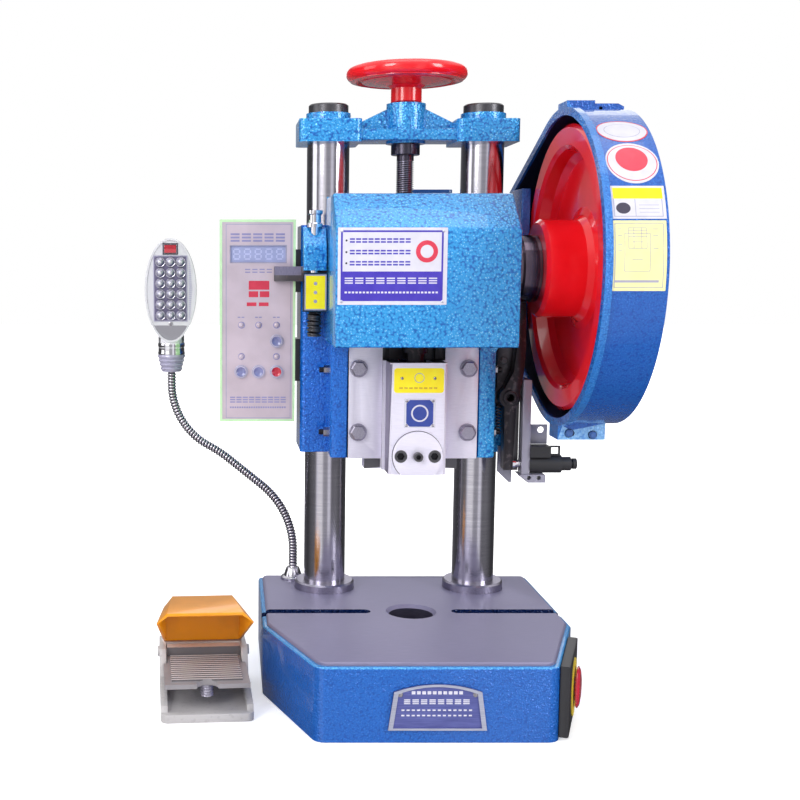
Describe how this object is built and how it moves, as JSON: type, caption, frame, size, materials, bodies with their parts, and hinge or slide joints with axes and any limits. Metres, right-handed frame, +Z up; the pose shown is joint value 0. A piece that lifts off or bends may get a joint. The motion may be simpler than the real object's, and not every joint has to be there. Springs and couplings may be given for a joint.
{
  "type": "desktop punching machine",
  "caption": "Bench-top crank press: two columns on a cast base, adjustable head with a guided ram, guarded flywheel, control box, work lamp and foot switch.",
  "frame": {"origin": "centre of the drop hole at the floor plane, on the ram's axis", "axes": "+Z up along the drop hole and the ram's stroke, +Y from the front to the back, +X to the right towards the flywheel"},
  "size_m": [0.4212, 0.4098, 0.5633],
  "materials": {
    "hammer_blue": "hammertone paint",
    "guard_blue": "smooth blue paint",
    "machined_table": "machined",
    "ground_steel": "ground",
    "bright_steel": "ground flat",
    "black_oxide": "black oxide",
    "forged_grey": "as forged",
    "wheel_red": "gloss paint",
    "bronze": "turned",
    "belt_rubber": "matt",
    "motor_blue": "satin paint",
    "zinc_plate": "grey paint",
    "name_plate": "anodised",
    "box_green": "light green paint",
    "panel_mauve": "printed film",
    "white_button": "moulded",
    "red_button": "moulded",
    "chrome": "plated",
    "lens": "clear domes",
    "stop_black": "moulded",
    "stop_yellow": "moulded",
    "pedal_grey": "cast and painted",
    "pedal_orange": "moulded"
  },
  "bodies": {
    "frame": {"base_casting": "hammer_blue", "nameplate": "name_plate", "column_left": "ground_steel", "column_right": "ground_steel", "column_collars": "ground_steel", "bridge": "hammer_blue", "column_caps": "black_oxide", "lamp_stand": "chrome", "lamp_head": "chrome", "lamp_lens": "lens", "stop_box": "stop_black", "stop_plate": "stop_yellow", "pedal_body": "pedal_grey", "pedal_hood": "pedal_orange"},
    "head": {"lift_nut": "bronze", "head_casting": "hammer_blue", "hood": "hammer_blue", "gib_left": "bright_steel", "gib_right": "bright_steel", "gib_screws": "bright_steel", "side_screws": "bright_steel", "crank_bushes": "bronze", "drive_belt": "belt_rubber", "guard": "guard_blue", "guard_bracket": "guard_blue", "motor": "motor_blue", "fan_cowl": "motor_blue", "motor_bracket": "hammer_blue", "brake_cap": "hammer_blue", "brake_arm": "black_oxide", "brake_bolt": "ground_steel", "trip_carrier": "forged_grey", "trip_plate": "zinc_plate", "trip_bracket": "zinc_plate", "solenoid": "stop_black", "box_bracket": "black_oxide", "box_shell": "box_green", "box_panel": "panel_mauve"},
    "handwheel": {"handwheel": "wheel_red", "lead_screw": "black_oxide"},
    "crank": {"crankshaft": "ground_steel", "clutch_sleeve": "forged_grey", "flywheel_nut": "black_oxide"},
    "conrod": {"conrod": "forged_grey", "ball_screw": "black_oxide"},
    "ram": {"ram": "bright_steel", "die_clamp": "bright_steel", "die_screws": "black_oxide"},
    "flywheel": {"flywheel": "wheel_red"},
    "motor_rotor": {"motor_pulley": "ground_steel"},
    "trip_lever": {"trip_lever": "forged_grey"},
    "plunger": {"plunger": "ground_steel"},
    "button_start": {"button_start": "white_button"},
    "button_count": {"button_count": "white_button"},
    "button_reset": {"button_reset": "white_button"},
    "button_off": {"button_off": "red_button"},
    "lamp_rocker": {"lamp_rocker": "red_button"},
    "stop_button": {"stop_button": "red_button"},
    "treadle": {"pedal_treadle": "pedal_grey", "pedal_spring": "ground_steel"}
  },
  "joints": [
    {"name": "handwheel_turn", "type": "hinge", "parent": "frame", "child": "handwheel", "pos_m": [0, 0.0843, 0.54], "axis": [0, 0, 1], "range_deg": [-3600, 5400]},
    {"name": "head_lift", "type": "slide", "parent": "frame", "child": "head", "axis": [0, 0, 1], "range_m": [-0.06, 0.04]},
    {"name": "crank_turn", "type": "hinge", "parent": "head", "child": "crank", "pos_m": [0, 0, 0.3766], "axis": [1, 0, 0], "range_deg": [-180, 0]},
    {"name": "ram_slide", "type": "slide", "parent": "head", "child": "ram", "axis": [0, 0, 1], "range_m": [-0.02, 0]},
    {"name": "conrod_turn", "type": "hinge", "parent": "crank", "child": "conrod", "pos_m": [0, 0, 0.3866], "axis": [1, 0, 0], "range_deg": [0, 180]},
    {"name": "flywheel_spin", "type": "hinge", "parent": "head", "child": "flywheel", "pos_m": [0.13, 0, 0.3766], "axis": [1, 0, 0], "continuous": true},
    {"name": "motor_spin", "type": "hinge", "parent": "head", "child": "motor_rotor", "pos_m": [0.13, 0.195, 0.3766], "axis": [1, 0, 0], "continuous": true},
    {"name": "trip_turn", "type": "hinge", "parent": "head", "child": "trip_lever", "pos_m": [0.0896, 0.025, 0.2596], "axis": [0, 1, 0], "range_deg": [-6, 0], "stiffness_Nm_per_rad": 2},
    {"name": "plunger_slide", "type": "slide", "parent": "head", "child": "plunger", "axis": [1, 0, 0], "range_m": [0, 0.0065]},
    {"name": "button_start_press", "type": "slide", "parent": "head", "child": "button_start", "axis": [0, 1, 0], "range_m": [0, 0.0018], "stiffness_N_per_m": 400},
    {"name": "button_count_press", "type": "slide", "parent": "head", "child": "button_count", "axis": [0, 1, 0], "range_m": [0, 0.0018], "stiffness_N_per_m": 400},
    {"name": "button_reset_press", "type": "slide", "parent": "head", "child": "button_reset", "axis": [0, 1, 0], "range_m": [0, 0.0018], "stiffness_N_per_m": 400},
    {"name": "button_off_press", "type": "slide", "parent": "head", "child": "button_off", "axis": [0, 1, 0], "range_m": [0, 0.0018], "stiffness_N_per_m": 400},
    {"name": "lamp_rocker_tilt", "type": "hinge", "parent": "frame", "child": "lamp_rocker", "pos_m": [-0.2232, 0.1031, 0.3947], "axis": [1, 0, 0], "range_deg": [0, 16]},
    {"name": "stop_press", "type": "slide", "parent": "frame", "child": "stop_button", "axis": [-0.9402, 0.3407, 0], "range_m": [0, 0.0012], "stiffness_N_per_m": 1500},
    {"name": "treadle_press", "type": "hinge", "parent": "frame", "child": "treadle", "pos_m": [-0.18958, -0.02219, 0.036], "axis": [0.9976, 0.0698, 0], "range_deg": [0, 8], "stiffness_Nm_per_rad": 5, "springref_deg": -8.59}
  ],
  "couplings": [
    {"joint": "handwheel_turn", "follows": "head_lift", "rad_per_m": -1570.8},
    {"joint": "ram_slide", "follows": "crank_turn", "m_per_rad": 0.0063662},
    {"joint": "conrod_turn", "follows": "crank_turn", "ratio": -1},
    {"joint": "motor_spin", "follows": "flywheel_spin", "ratio": 4.1667},
    {"joint": "plunger_slide", "follows": "trip_turn", "m_per_rad": -0.062}
  ]
}
